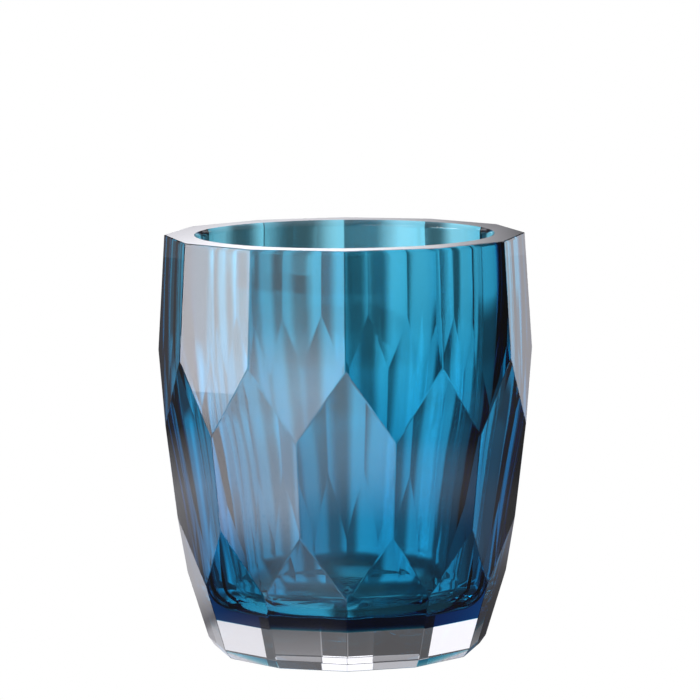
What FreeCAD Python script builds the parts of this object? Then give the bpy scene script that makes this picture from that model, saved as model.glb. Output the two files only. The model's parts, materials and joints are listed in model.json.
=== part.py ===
import FreeCAD, Part
import math
import os

# Cut crystal vase: a blue body with three staggered rows of flat facets and a
# round cavity, bonded on a clear foot.  Millimetres, +Z up, origin at the
# centre of the base.  Azimuth is measured from -Y towards +X.

# Overall
height = 230.0            # base plane to the polished rim
facets_per_row = 12
foot_height = 23.0        # the clear foot ends here and the blue body begins

# Each row of facets: its apothem (axis to flat) and how far it leans outwards
rim_apothem = 95.8        # upper row, where it meets the rim
upper_lean = -3.5         # degrees, the upper row closes towards the rim
middle_apothem = 83.6     # middle row, carried down to the base plane
middle_lean = 6.7
lower_apothem = 73.1      # lower row, carried down to the base plane
lower_lean = 16.6
base_apothem = 71.1       # flat that the vase stands on
base_bevel_height = 5.0

# Cavity, turned about the vertical axis
mouth_radius = 82.6
lip_height = 2.0          # small chamfer round the mouth
lip_width = 0.9
cavity_floor = 30.0       # leaves a blue floor over the clear foot
floor_fillet = 15.0
cavity_wall = (           # (radius, height) from the lip down to the fillet
    (mouth_radius - lip_width, height - lip_height),
    (82.4, 198.0),
    (81.2, 168.0),
    (77.5, 135.0),
    (71.5, 105.0),
    (66.0, 78.0),
    (60.5, cavity_floor + floor_fillet),
)

sector = 360.0 / facets_per_row
corner_factor = 1.0 / math.cos(math.radians(sector / 2.0))


def row(apothem, at_height, lean):
    """Apothem at the base plane and its gain per millimetre of height."""
    slope = math.tan(math.radians(lean))
    return apothem - at_height * slope, slope


def apothem_at(facet_row, z):
    return facet_row[0] + facet_row[1] * z


def meeting_height(corner_row, flat_row):
    """Height where two rows' vertical edge meets the flat of the row beside it."""
    gap = flat_row[0] - corner_row[0] * corner_factor
    return gap / (corner_row[1] * corner_factor - flat_row[1])


def ring(radius, z, half_turned):
    """One ring of facet corners; half-turned rings sit midway between the others."""
    start = sector / 2.0 if half_turned else 0.0
    corners = []
    for number in range(facets_per_row):
        azimuth = math.radians(start + number * sector)
        corners.append(FreeCAD.Vector(radius * math.sin(azimuth), -radius * math.cos(azimuth), z))
    return corners


def flat(corners):
    return Part.Face(Part.makePolygon(corners + corners[:1]))


def cut_crystal():
    """The whole faceted blank, foot and body together, as one solid."""
    upper = row(rim_apothem, height, upper_lean)
    middle = row(middle_apothem, 0.0, middle_lean)
    lower = row(lower_apothem, 0.0, lower_lean)
    shoulder_z = meeting_height(upper, middle)
    upper_point_z = meeting_height(middle, upper)
    lower_point_z = meeting_height(middle, lower)
    heel_z = meeting_height(lower, middle)

    rim = ring(rim_apothem * corner_factor, height, False)
    shoulder = ring(apothem_at(middle, shoulder_z), shoulder_z, False)
    upper_point = ring(apothem_at(upper, upper_point_z), upper_point_z, True)
    lower_point = ring(apothem_at(lower, lower_point_z), lower_point_z, True)
    heel = ring(apothem_at(middle, heel_z), heel_z, False)
    bevel_top = ring(apothem_at(lower, base_bevel_height) * corner_factor, base_bevel_height, False)
    base = ring(base_apothem * corner_factor, 0.0, False)

    faces = [flat(rim), flat(base)]
    for here in range(facets_per_row):
        after = (here + 1) % facets_per_row
        before = here - 1
        faces.append(flat([rim[here], rim[after], shoulder[after], upper_point[here], shoulder[here]]))
        faces.append(flat([shoulder[here], upper_point[here], lower_point[here],
                           heel[here], lower_point[before], upper_point[before]]))
        faces.append(flat([lower_point[here], heel[after], bevel_top[after], bevel_top[here], heel[here]]))
        faces.append(flat([bevel_top[here], bevel_top[after], base[after], base[here]]))
    return Part.makeSolid(Part.makeShell(faces))


def cavity():
    """The hollow, open at the mouth, with a filleted flat floor."""
    wall_points = [FreeCAD.Vector(radius, 0, z) for radius, z in cavity_wall]
    wall = Part.BSplineCurve()
    wall.interpolate(wall_points)
    wall_foot = wall_points[-1]
    floor_edge = FreeCAD.Vector(wall_foot.x - floor_fillet, 0, cavity_floor)
    turn = floor_fillet * math.sqrt(0.5)
    fillet_middle = FreeCAD.Vector(floor_edge.x + turn, 0, cavity_floor + floor_fillet - turn)
    mouth = FreeCAD.Vector(mouth_radius, 0, height)
    top = FreeCAD.Vector(0, 0, height)
    floor_centre = FreeCAD.Vector(0, 0, cavity_floor)
    outline = Part.Wire([
        Part.makeLine(top, mouth),
        Part.makeLine(mouth, wall_points[0]),
        wall.toShape(),
        Part.Arc(wall_foot, fillet_middle, floor_edge).toShape(),
        Part.makeLine(floor_edge, floor_centre),
        Part.makeLine(floor_centre, top),
    ])
    return Part.Face(outline).revolve(FreeCAD.Vector(0, 0, 0), FreeCAD.Vector(0, 0, 1), 360)


def slab(low, high):
    """A block wider than the vase between two heights."""
    side = 3.0 * rim_apothem
    return Part.makeBox(side, side, high - low, FreeCAD.Vector(-side / 2.0, -side / 2.0, low))


def clear_foot(blank):
    return blank.common(slab(0.0, foot_height))


def blue_body(blank):
    return blank.common(slab(foot_height, height)).cut(cavity())


def single_solid(shape):
    """The one solid inside a boolean's result."""
    if len(shape.Solids) != 1:
        raise ValueError("expected one solid, found %d" % len(shape.Solids))
    return shape.Solids[0]


blank = cut_crystal()
parts = {
    "blue_body": single_solid(blue_body(blank)),
    "clear_foot": single_solid(clear_foot(blank)),
}
os.makedirs("parts", exist_ok=True)
for name, shape in parts.items():
    shape.exportStep("parts/%s.step" % name)
    box = shape.BoundBox
    print("%-11s valid %s  %.1f cm3  %.2f x %.2f x %.2f mm" % (
        name, shape.isValid(), shape.Volume / 1000.0, box.XLength, box.YLength, box.ZLength))
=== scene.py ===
import json
import math
import bmesh
import bpy
from mathutils import Matrix, Vector, noise

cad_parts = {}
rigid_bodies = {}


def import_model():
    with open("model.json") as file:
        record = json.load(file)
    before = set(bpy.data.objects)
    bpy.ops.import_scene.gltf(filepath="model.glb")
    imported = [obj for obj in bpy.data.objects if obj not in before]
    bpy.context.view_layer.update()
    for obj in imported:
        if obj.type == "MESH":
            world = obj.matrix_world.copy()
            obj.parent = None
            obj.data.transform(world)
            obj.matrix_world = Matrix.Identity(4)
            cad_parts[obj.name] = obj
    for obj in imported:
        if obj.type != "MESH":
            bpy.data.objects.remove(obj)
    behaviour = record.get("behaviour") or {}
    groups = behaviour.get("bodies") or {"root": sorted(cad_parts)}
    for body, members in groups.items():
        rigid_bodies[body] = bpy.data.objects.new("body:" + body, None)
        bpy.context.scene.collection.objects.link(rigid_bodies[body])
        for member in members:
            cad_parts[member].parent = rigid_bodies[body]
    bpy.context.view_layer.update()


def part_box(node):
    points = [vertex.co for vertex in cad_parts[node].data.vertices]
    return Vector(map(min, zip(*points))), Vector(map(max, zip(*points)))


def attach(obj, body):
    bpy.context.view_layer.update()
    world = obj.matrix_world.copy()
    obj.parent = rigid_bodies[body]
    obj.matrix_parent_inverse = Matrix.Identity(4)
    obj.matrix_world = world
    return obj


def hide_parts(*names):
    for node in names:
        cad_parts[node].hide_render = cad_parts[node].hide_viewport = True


# Cut crystal vase: a blue crystal body with a turned hollow, bonded on a clear
# crystal foot. Lengths in the dictionaries are millimetres, angles are degrees.
# Azimuth 0 is towards the camera and grows towards +X.

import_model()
mm = 0.001
sameHeight = 1e-6              # metres, two corners closer than this are level
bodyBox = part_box("blue_body")
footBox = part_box("clear_foot")
rimHeight = bodyBox[1][2] / mm
bondHeight = footBox[1][2] / mm
print("frame loaded, rim at %.1f mm, bond at %.1f mm" % (rimHeight, bondHeight))


cut = {
    "facetsPerRow": 12,
    "upperApothem": 95.8,      # at the rim
    "upperLean": -3.5,
    "middleApothem": 83.6,     # at the base plane
    "middleLean": 6.7,
    "lowerApothem": 73.1,      # at the base plane
    "lowerLean": 16.6,
    "baseApothem": 71.1,
    "bevelHeight": 5.0,
    "edgeWidth": 0.45,         # polished round on every cut edge
    "edgeSteps": 2,
    "sharpestFlat": 1.5,       # joints flatter than this stay one face
    "bondFacing": 0.99,        # how squarely a bonded face looks up or down
}
sector = 360.0 / cut["facetsPerRow"]
cornerFactor = 1.0 / math.cos(math.radians(sector / 2.0))


def facetRow(apothem, atHeight, lean):
    slope = math.tan(math.radians(lean))
    return apothem - atHeight * slope, slope


def apothemAt(row, z):
    return row[0] + row[1] * z


def meetingHeight(cornerRow, flatRow):
    # where the vertical edge of one row runs into the flat of the next
    gap = flatRow[0] - cornerRow[0] * cornerFactor
    return gap / (cornerRow[1] * cornerFactor - flatRow[1])


def aroundAxis(radius, azimuth, z):
    turn = math.radians(azimuth)
    return Vector((radius * math.sin(turn), -radius * math.cos(turn), z)) * mm


def cornerRing(mesh, radius, z, halfTurned=False):
    start = sector / 2.0 if halfTurned else 0.0
    return [mesh.verts.new(aroundAxis(radius, start + number * sector, z))
            for number in range(cut["facetsPerRow"])]


upperRow = facetRow(cut["upperApothem"], rimHeight, cut["upperLean"])
middleRow = facetRow(cut["middleApothem"], 0.0, cut["middleLean"])
lowerRow = facetRow(cut["lowerApothem"], 0.0, cut["lowerLean"])


def bandOfFlats(mesh, top, bottom):
    # one storey of flats between two rings of corners
    for here in range(cut["facetsPerRow"]):
        after = (here + 1) % cut["facetsPerRow"]
        mesh.faces.new((top[after], top[here], bottom[here], bottom[after]))


def roundCutEdges(mesh, bondZ):
    # a fine polished round along the cut edges, never on the bond plane
    mesh.normal_update()
    flattest = math.radians(cut["sharpestFlat"])
    edges = []
    for edge in mesh.edges:
        onBond = all(abs(corner.co.z - bondZ * mm) < sameHeight for corner in edge.verts)
        turned = any(face.smooth for face in edge.link_faces)
        if not onBond and not turned and edge.calc_face_angle(0.0) > flattest:
            edges.append(edge)
    bmesh.ops.bevel(mesh, geom=edges, offset=cut["edgeWidth"] * mm, offset_type="OFFSET",
                    segments=cut["edgeSteps"], profile=0.5, affect="EDGES", clamp_overlap=True)


def finishCrystal(mesh, name, bondZ, look):
    # every face carries the smooth flag and the cut edges are marked sharp, so
    # the glass inside counts as one body of colour
    bmesh.ops.recalc_face_normals(mesh, faces=mesh.faces[:])
    for edge in mesh.edges:
        if not all(face.smooth for face in edge.link_faces):
            edge.smooth = False
    for face in mesh.faces:
        face.smooth = True
    data = bpy.data.meshes.new(name)
    mesh.to_mesh(data)
    mesh.free()
    bond = data.attributes.new("bondFace", "FLOAT", "FACE")
    for face in data.polygons:
        heights = [data.vertices[corner].co.z for corner in face.vertices]
        level = all(abs(height - bondZ * mm) < sameHeight for height in heights)
        bonded = level and abs(face.normal.z) > cut["bondFacing"]
        bond.data[face.index].value = 1.0 if bonded else 0.0
    piece = bpy.data.objects.new(name, data)
    bpy.context.scene.collection.objects.link(piece)
    data.materials.append(crystal(look))
    return piece


blueCrystal = {
    "name": "blueCrystal",
    "ior": 1.52,
    "tint": (0.0, 0.70, 0.82),    # what the colour lets through
    "density": 93.0,              # per metre of glass
    "flowSize": 26.0,             # how many soft waves fit in a metre
    "flowHeight": 0.006,          # mm
    "hazeSize": 160.0,
    "haze": (0.0, 0.012),         # roughness where clean and where handled
    "film": (0.985, 0.99, 1.0),   # the faint film where it is handled
}
clearCrystal = {
    "name": "clearCrystal",
    "ior": 1.52,
    "tint": None,                 # no colour, so no density either
    "flowSize": 30.0,
    "flowHeight": 0.004,
    "hazeSize": 180.0,
    "haze": (0.0, 0.015),
    "film": (0.975, 0.975, 0.985),
}
polish = {
    "waveStretch": 0.3,           # waves are longer up the vase than across it
    "waveDetail": 1.5,
    "waveRoughness": 0.45,
    "cloudDetail": 4.0,
    "cloudRoughness": 0.6,
    "cloudEdge": (0.52, 0.78),    # where a cloud of haze starts and is full
}


def node(tree, kind, sockets=None, **settings):
    made = tree.nodes.new(kind)
    for key, value in settings.items():
        setattr(made, key, value)
    for key, value in (sockets or {}).items():
        made.inputs[key].default_value = value
    return made


def crystal(look):
    material = bpy.data.materials.new(look["name"])
    material.use_nodes = True
    tree = material.node_tree
    tree.nodes.clear()
    link = tree.links.new
    place = node(tree, "ShaderNodeTexCoord")

    # slow waves left by the polishing wheel, stretched up the facets
    stretch = node(tree, "ShaderNodeMapping", {"Scale": (1.0, 1.0, polish["waveStretch"])})
    waves = node(tree, "ShaderNodeTexNoise", {
        "Scale": look["flowSize"],
        "Detail": polish["waveDetail"],
        "Roughness": polish["waveRoughness"],
    })
    bump = node(tree, "ShaderNodeBump", {"Strength": 1.0, "Distance": look["flowHeight"] * mm})
    link(place.outputs["Object"], stretch.inputs["Vector"])
    link(stretch.outputs["Vector"], waves.inputs["Vector"])
    link(waves.outputs["Fac"], bump.inputs["Height"])

    # handling haze, in loose clouds
    clouds = node(tree, "ShaderNodeTexNoise", {
        "Scale": look["hazeSize"],
        "Detail": polish["cloudDetail"],
        "Roughness": polish["cloudRoughness"],
    })
    cloudStart, cloudFull = polish["cloudEdge"]
    patches = node(tree, "ShaderNodeMapRange", {"From Min": cloudStart, "From Max": cloudFull})
    clean, handled = look["haze"]
    rough = node(tree, "ShaderNodeMapRange", {"To Min": clean, "To Max": handled})
    film = node(tree, "ShaderNodeMix", data_type="RGBA")
    film.inputs[6].default_value = (1.0, 1.0, 1.0, 1.0)    # its two colours
    film.inputs[7].default_value = (*look["film"], 1.0)
    link(place.outputs["Object"], clouds.inputs["Vector"])
    link(clouds.outputs["Fac"], patches.inputs["Value"])
    link(patches.outputs["Result"], rough.inputs["Value"])
    link(patches.outputs["Result"], film.inputs[0])

    glass = node(tree, "ShaderNodeBsdfPrincipled", {"IOR": look["ior"], "Transmission Weight": 1.0})
    link(film.outputs[2], glass.inputs["Base Color"])
    link(rough.outputs["Result"], glass.inputs["Roughness"])
    link(bump.outputs["Normal"], glass.inputs["Normal"])

    # where the two glasses are bonded there is no surface to see
    bond = node(tree, "ShaderNodeAttribute", attribute_name="bondFace")
    through = node(tree, "ShaderNodeBsdfTransparent")
    surface = node(tree, "ShaderNodeMixShader")
    link(bond.outputs["Fac"], surface.inputs[0])
    link(glass.outputs["BSDF"], surface.inputs[1])
    link(through.outputs["BSDF"], surface.inputs[2])
    output = node(tree, "ShaderNodeOutputMaterial")
    link(surface.outputs["Shader"], output.inputs["Surface"])
    if look["tint"]:
        colour = node(tree, "ShaderNodeVolumeAbsorption", {
            "Color": (*look["tint"], 1.0),
            "Density": look["density"],
        })
        link(colour.outputs["Volume"], output.inputs["Volume"])
    return material


hollow = {
    "mouthRadius": 82.6,
    "lipHeight": 2.0,
    "lipWidth": 0.9,
    "floorHeight": 30.0,
    "floorFillet": 15.0,
    "wall": ((82.4, 198.0), (81.2, 168.0), (77.5, 135.0), (71.5, 105.0), (66.0, 78.0)),
    "wallFootRadius": 60.5,
    "steps": 288,              # round the axis, a whole number to each facet
    "wallSteps": 9,            # between two stations of the wall
    "filletSteps": 18,
    "floorSteps": 44,
    "ripplePitch": 5.0,        # rings left on the floor by the mould
    "rippleHeight": 0.14,
    "petalHeight": 0.7,        # the floor's edge is pressed into petals
    "petalReach": 0.5,         # as far up the fillet as this share of it
    "flute": 0.10,             # how far the blown wall strays from round
    "fluteCount": 9.0,         # how quickly it strays, round the axis
    "fluteRise": 0.006,        # and up the wall
    "fluteFade": 12.0,         # below the lip it starts over this height
    "fineFlute": 0.35,         # share of a second, finer straying
    "fineFluteCount": 2.7,     # how much finer it is
    "bondGap": 0.01,           # keeps the two skins of the bond apart
}


def wallCurve(stations, steps):
    # a smooth line through the stations, without overshoot at the ends
    line = []
    for index in range(len(stations) - 1):
        before = stations[max(index - 1, 0)]
        start = stations[index]
        end = stations[index + 1]
        after = stations[min(index + 2, len(stations) - 1)]
        for step in range(steps):
            t = step / steps
            line.append(tuple(
                0.5 * (2 * start[k] + (end[k] - before[k]) * t
                       + (2 * before[k] - 5 * start[k] + 4 * end[k] - after[k]) * t * t
                       + (3 * start[k] - before[k] - 3 * end[k] + after[k]) * t ** 3)
                for k in (0, 1)))
    line.append(stations[-1])
    return line


def hollowOutline():
    # (radius, height, share of the fluting) from the mouth to the middle of the floor
    floorZ = hollow["floorHeight"]
    fillet = hollow["floorFillet"]
    footRadius = hollow["wallFootRadius"]
    lip = (hollow["mouthRadius"] - hollow["lipWidth"], rimHeight - hollow["lipHeight"])
    stations = [lip, *hollow["wall"], (footRadius, floorZ + fillet)]
    outline = [(hollow["mouthRadius"], rimHeight, 0.0)]
    for radius, z in wallCurve(stations, hollow["wallSteps"]):
        fade = min(1.0, (rimHeight - hollow["lipHeight"] - z) / hollow["fluteFade"])
        outline.append((radius, z, fade))
    flatRadius = footRadius - fillet
    for step in range(1, hollow["filletSteps"] + 1):
        turn = math.pi / 2.0 * step / hollow["filletSteps"]
        radius = flatRadius + fillet * math.cos(turn)
        outline.append((radius, floorZ + fillet - fillet * math.sin(turn), 1.0))
    for step in range(1, hollow["floorSteps"]):
        radius = flatRadius * (1.0 - step / hollow["floorSteps"])
        wave = 0.5 - 0.5 * math.cos(math.tau * (flatRadius - radius) / hollow["ripplePitch"])
        outline.append((radius, floorZ + hollow["rippleHeight"] * wave, 0.0))
    return outline


def fluting(azimuth, z):
    turn = math.radians(azimuth)
    reach = hollow["fluteCount"] / math.pi
    spot = Vector((math.cos(turn) * reach, math.sin(turn) * reach, z * hollow["fluteRise"]))
    fine = hollow["fineFlute"] * noise.noise(spot * hollow["fineFluteCount"])
    return noise.noise(spot) + fine


def floorPetal(radius, azimuth, z):
    # low swells round the edge of the floor, one to each facet
    if z > hollow["floorHeight"] + hollow["floorFillet"] * hollow["petalReach"]:
        return 0.0
    swell = math.sin(math.pi * min(radius / hollow["wallFootRadius"], 1.0)) ** 2
    turn = math.radians(azimuth) * cut["facetsPerRow"]
    return hollow["petalHeight"] * swell * (0.5 - 0.5 * math.cos(turn))


def turnHollow(mesh, rim):
    steps = hollow["steps"]
    rings = []
    for radius, z, share in hollowOutline():
        ring = []
        for step in range(steps):
            azimuth = 360.0 * step / steps
            stray = share * hollow["flute"] * fluting(azimuth, z) if share else 0.0
            petal = floorPetal(radius, azimuth, z)
            ring.append(mesh.verts.new(aroundAxis(radius + stray, azimuth, z + petal)))
        rings.append(ring)
    perFacet = steps // cut["facetsPerRow"]
    for here in range(cut["facetsPerRow"]):
        after = (here + 1) % cut["facetsPerRow"]
        inner = [rings[0][(here * perFacet + step) % steps] for step in range(perFacet + 1)]
        mesh.faces.new([rim[here], rim[after]] + inner[::-1])
    for upper, lower in zip(rings, rings[1:]):
        for step in range(steps):
            after = (step + 1) % steps
            skin = mesh.faces.new((upper[step], upper[after], lower[after], lower[step]))
            skin.smooth = True
    middle = mesh.verts.new(Vector((0.0, 0.0, hollow["floorHeight"])) * mm)
    for step in range(steps):
        skin = mesh.faces.new((rings[-1][step], rings[-1][(step + 1) % steps], middle))
        skin.smooth = True


def makeBlueBody():
    mesh = bmesh.new()
    shoulderZ = meetingHeight(upperRow, middleRow)
    upperPointZ = meetingHeight(middleRow, upperRow)
    lowerPointZ = meetingHeight(middleRow, lowerRow)
    heelZ = meetingHeight(lowerRow, middleRow)
    rim = cornerRing(mesh, cut["upperApothem"] * cornerFactor, rimHeight)
    shoulder = cornerRing(mesh, apothemAt(middleRow, shoulderZ), shoulderZ)
    upperPoint = cornerRing(mesh, apothemAt(upperRow, upperPointZ), upperPointZ, halfTurned=True)
    lowerPoint = cornerRing(mesh, apothemAt(lowerRow, lowerPointZ), lowerPointZ, halfTurned=True)
    heel = cornerRing(mesh, apothemAt(middleRow, heelZ), heelZ)
    bond = cornerRing(mesh, apothemAt(lowerRow, bondHeight) * cornerFactor, bondHeight)
    for here in range(cut["facetsPerRow"]):
        after = (here + 1) % cut["facetsPerRow"]
        before = here - 1
        mesh.faces.new((rim[after], rim[here], shoulder[here], upperPoint[here], shoulder[after]))
        mesh.faces.new((upperPoint[here], shoulder[here], upperPoint[before],
                        lowerPoint[before], heel[here], lowerPoint[here]))
        mesh.faces.new((heel[after], lowerPoint[here], heel[here], bond[here], bond[after]))
    mesh.faces.new(bond)
    turnHollow(mesh, rim)
    roundCutEdges(mesh, bondHeight)
    body = finishCrystal(mesh, "blue_body_crystal", bondHeight, blueCrystal)
    body.data.transform(Matrix.Translation((0.0, 0.0, hollow["bondGap"] * mm)))
    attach(body, "root")
    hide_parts("blue_body")
    print("blue body:", len(body.data.polygons), "faces")


def makeClearFoot():
    mesh = bmesh.new()
    bevelApothem = apothemAt(lowerRow, cut["bevelHeight"])
    bond = cornerRing(mesh, apothemAt(lowerRow, bondHeight) * cornerFactor, bondHeight)
    bevelTop = cornerRing(mesh, bevelApothem * cornerFactor, cut["bevelHeight"])
    base = cornerRing(mesh, cut["baseApothem"] * cornerFactor, 0.0)
    mesh.faces.new(bond)
    mesh.faces.new(base)
    bandOfFlats(mesh, bond, bevelTop)
    bandOfFlats(mesh, bevelTop, base)
    bmesh.ops.recalc_face_normals(mesh, faces=mesh.faces[:])
    roundCutEdges(mesh, bondHeight)
    foot = finishCrystal(mesh, "clear_foot_crystal", bondHeight, clearCrystal)
    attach(foot, "root")
    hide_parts("clear_foot")
    print("clear foot:", len(foot.data.polygons), "faces")


# The tent and the table are grids, finer where the vase sees most of them.
studio = {
    "lightColour": (0.95, 0.94, 1.0),
    "tentGlow": 0.10,
    "tableGlow": 0.16,
    "tableGlowNear": 0.10,     # painted shade under the vase, where less light reaches
    "nearReach": 0.16,         # metres, as are all lengths here
    "gridColumns": 240,
    "tentRadius": 3.0,
    "tentFoot": -4.0,          # degrees below the middle of the vase
    "tentLowRows": (52, 0.75),         # how many, and degrees between them
    "tentHighFrom": 36.0,
    "tentHighRows": (18, 3.0),
    "tentTop": 89.9,
    "tableRadius": 3.0,
    "tableDrop": 0.0006,       # keeps the table off the base
    "tableMiddle": 0.0005,
    "tableFirstRing": 0.02,
    "tableRings": (62, 1.085),         # how many, and growth from one to the next
    "roomWhite": 1.0,
}


def softLight(azimuth, along, softness, glow):
    # a patch of light: its span in azimuth and up the tent or out over the
    # table, how soft its edges are each way, and how bright it is
    return {"azimuth": azimuth, "along": along, "softness": softness, "glow": glow}


tentLights = {
    "backdrop": softLight((150, 215), (-9, 4), (20, 4), 0.15),
    "leftBox": softLight((-102, -74), (-9, 7), (10, 4), 8.0),
    "leftFill": softLight((-60, -14), (-9, 12), (12, 5), 1.7),
    "leftLow": softLight((-46, -18), (-9, 0.8), (10, 2), 3.6),
    "rimCard": softLight((177.5, 186), (7.2, 9), (7, 1.6), 1.9),
    "rightCard": softLight((147, 160), (-9, 2), (8, 2), 1.0),
    "windowRight": softLight((130, 147), (8, 13), (5, 2), 0.8),
    "windowLeft": softLight((213, 231), (8, 13), (5, 2), 1.1),
    "middleCard": softLight((152, 178), (3, 5.5), (4, 2), 0.32),
    "highCard": softLight((169, 187), (16, 23), (6, 3), 1.1),
    "highLeft": softLight((191, 206), (16, 23), (5, 3), 0.45),
    "ceiling": softLight((-180, 180), (25, 99), (5, 5), 1.00),
    "rightFill": softLight((-8, 124), (7, 27), (12, 6), 0.45),
    "leftAbove": softLight((-122, -62), (9, 27), (12, 6), 0.60),
}
# painted pools of light in the table's glow, seen by the vase in its facets; the camera sees the
# table plain white
tableLights = {
    "leftPool": softLight((-72, -28), (0.28, 1.7), (14, 0.12), 4.4),
    "leftFar": softLight((-102, -74), (2.1, 6.0), (10, 1.6), 5.5),
    "frontPool": softLight((-28, 22), (0.34, 1.7), (14, 0.12), 2.2),
    "frontRight": softLight((26, 60), (0.32, 0.42), (10, 0.08), 0.8),
    "frontNear": softLight((-50, -4), (0.13, 0.36), (14, 0.03), 1.3),
    "backPool": softLight((150, 216), (0.24, 0.68), (12, 0.16), 0.16),
    "backPoolRight": softLight((88, 150), (0.22, 0.42), (12, 0.10), 0.12),
    "backStripe": softLight((150, 177), (0.26, 6.0), (8, 0.14), 0.92),
    "backSweep": softLight((190, 205), (0.26, 6.0), (7, 0.14), 0.55),
    "backLeft": softLight((212, 248), (0.12, 0.52), (12, 0.12), 0.80),
    "leftNear": softLight((-125, -88), (0.22, 0.44), (8, 0.08), 0.60),
    "leftMiddle": softLight((-104, -74), (0.44, 1.9), (8, 0.20), 1.20),
    "backRight": softLight((104, 150), (0.90, 3.4), (8, 0.40), 0.85),
    "underLeft": softLight((-110, -8), (-0.1, 0.105), (16, 0.03), 0.80),
    "underBack": softLight((150, 186), (-0.1, 0.12), (16, 0.03), 0.45),
}


def easedStep(value):
    value = min(max(value, 0.0), 1.0)
    return value * value * (3.0 - 2.0 * value)


def spanned(value, span, softness):
    # 1 inside the span, easing to 0 across its soft edges
    rise = easedStep((value - span[0]) / softness + 0.5)
    return rise * (1.0 - easedStep((value - span[1]) / softness + 0.5))


def turnSpanned(azimuth, span, softness):
    turns = (-360.0, 0.0, 360.0)
    return min(1.0, sum(spanned(azimuth + turn, span, softness) for turn in turns))


def withLights(glow, lights, azimuth, along):
    for light in lights.values():
        across = turnSpanned(azimuth, light["azimuth"], light["softness"][0])
        glow += light["glow"] * across * spanned(along, light["along"], light["softness"][1])
    return glow


def tentGlowAt(azimuth, elevation):
    return withLights(studio["tentGlow"], tentLights, azimuth, elevation)


def tableGlowAt(azimuth, distance):
    # the table's glow is dimmed near the vase as painted shade, and the painted pools of light are
    # added on top
    near = easedStep(distance / studio["nearReach"] - 0.5)
    glow = studio["tableGlowNear"] + (studio["tableGlow"] - studio["tableGlowNear"]) * near
    return withLights(glow, tableLights, azimuth, distance)


def glowing(name, whiteToCamera):
    # the camera may see plain white where the vase sees the lights
    material = bpy.data.materials.new(name)
    material.use_nodes = True
    tree = material.node_tree
    tree.nodes.clear()
    strength = node(tree, "ShaderNodeAttribute", attribute_name="glow")
    light = node(tree, "ShaderNodeEmission", {"Color": (*studio["lightColour"], 1.0)})
    output = node(tree, "ShaderNodeOutputMaterial")
    tree.links.new(strength.outputs["Fac"], light.inputs["Strength"])
    last = light.outputs["Emission"]
    if whiteToCamera:
        path = node(tree, "ShaderNodeLightPath")
        white = node(tree, "ShaderNodeEmission", {"Strength": studio["roomWhite"]})
        pick = node(tree, "ShaderNodeMixShader")
        tree.links.new(path.outputs["Is Camera Ray"], pick.inputs[0])
        tree.links.new(last, pick.inputs[1])
        tree.links.new(white.outputs["Emission"], pick.inputs[2])
        last = pick.outputs["Shader"]
    tree.links.new(last, output.inputs["Surface"])
    return material


def glowingSheet(name, rows, pointAt, glowAt, whiteToCamera):
    # a grid wrapped once round the axis, its brightness kept at its corners
    columns = studio["gridColumns"]
    points = []
    glows = []
    for row in rows:
        for column in range(columns):
            azimuth = 360.0 * column / columns - 180.0
            points.append(pointAt(azimuth, row))
            glows.append(glowAt(azimuth, row))
    faces = []
    for row in range(len(rows) - 1):
        for column in range(columns):
            after = (column + 1) % columns
            faces.append((row * columns + column, row * columns + after,
                          (row + 1) * columns + after, (row + 1) * columns + column))
    data = bpy.data.meshes.new(name)
    data.from_pydata(points, [], faces)
    glow = data.attributes.new("glow", "FLOAT", "POINT")
    glow.data.foreach_set("value", glows)
    sheet = bpy.data.objects.new(name, data)
    bpy.context.scene.collection.objects.link(sheet)
    data.materials.append(glowing(name, whiteToCamera))
    return sheet


def makeTent():
    middle = rimHeight * mm / 2.0
    reach = studio["tentRadius"]

    def tentPoint(azimuth, elevation):
        turn = math.radians(azimuth)
        rise = math.radians(elevation)
        out = reach * math.cos(rise)
        return (out * math.sin(turn), -out * math.cos(turn), middle + reach * math.sin(rise))

    lowCount, lowGap = studio["tentLowRows"]
    highCount, highGap = studio["tentHighRows"]
    low = [studio["tentFoot"] + lowGap * step for step in range(lowCount)]
    high = [studio["tentHighFrom"] + highGap * step for step in range(highCount)]
    rows = low + high + [studio["tentTop"]]
    tent = glowingSheet("lightTent", rows, tentPoint, tentGlowAt, False)
    tent.visible_camera = False
    tent.visible_shadow = False
    print("light tent: %d lights" % len(tentLights))


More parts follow.
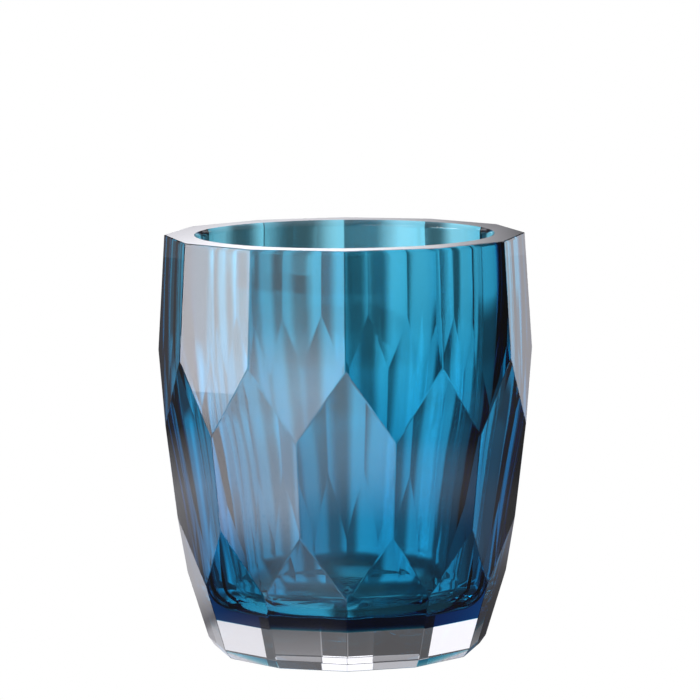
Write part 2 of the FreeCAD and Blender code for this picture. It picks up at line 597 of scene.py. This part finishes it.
def makeTable():
    def tablePoint(azimuth, distance):
        turn = math.radians(azimuth)
        return (distance * math.sin(turn), -distance * math.cos(turn), -studio["tableDrop"])

    count, growth = studio["tableRings"]
    rings = [studio["tableFirstRing"] * growth ** step for step in range(count)]
    rings = [studio["tableMiddle"]] + rings + [studio["tableRadius"]]
    glowingSheet("table", rings, tablePoint, tableGlowAt, True)
    print("table: %d lights" % len(tableLights))


def makeRoom():
    world = bpy.data.worlds.new("whiteRoom")
    world.use_nodes = True
    background = world.node_tree.nodes["Background"]
    background.inputs["Color"].default_value = (1.0, 1.0, 1.0, 1.0)
    background.inputs["Strength"].default_value = studio["roomWhite"]
    bpy.context.scene.world = world


view = {
    "lens": 198.6,             # mm
    "sensor": 36.0,            # mm
    "farthest": 50.0,          # metres
    "distance": 9.195,         # in vase heights, in front of the axis
    "height": 1.8757,          # in vase heights, above the table
    "pitch": -7.169,
    "yaw": -0.0712,
    "roll": -0.4,
}


def makeCamera():
    tall = rimHeight * mm
    data = bpy.data.cameras.new("camera")
    data.lens = view["lens"]
    data.sensor_width = view["sensor"]
    data.clip_end = view["farthest"]
    camera = bpy.data.objects.new("camera", data)
    camera.matrix_world = (
        Matrix.Translation((0.0, -view["distance"] * tall, view["height"] * tall))
        @ Matrix.Rotation(math.radians(view["yaw"]), 4, "Z")
        @ Matrix.Rotation(math.radians(90.0 + view["pitch"]), 4, "X")
        @ Matrix.Rotation(math.radians(view["roll"]), 4, "Z"))
    bpy.context.scene.collection.objects.link(camera)
    bpy.context.scene.camera = camera
    print("camera %.2f m away" % (view["distance"] * tall))


crossings = 24                 # light crosses many glass skins here
mirrorings = 16


def giveGlassRoom():
    cycles = bpy.context.scene.cycles
    cycles.max_bounces = crossings
    cycles.transmission_bounces = crossings
    cycles.transparent_max_bounces = crossings
    cycles.glossy_bounces = mirrorings
    bpy.context.scene.view_settings.view_transform = "Standard"
    print("glass: %d crossings" % crossings)


makeBlueBody()
makeClearFoot()
makeTent()
makeTable()
makeRoom()
makeCamera()
giveGlassRoom()
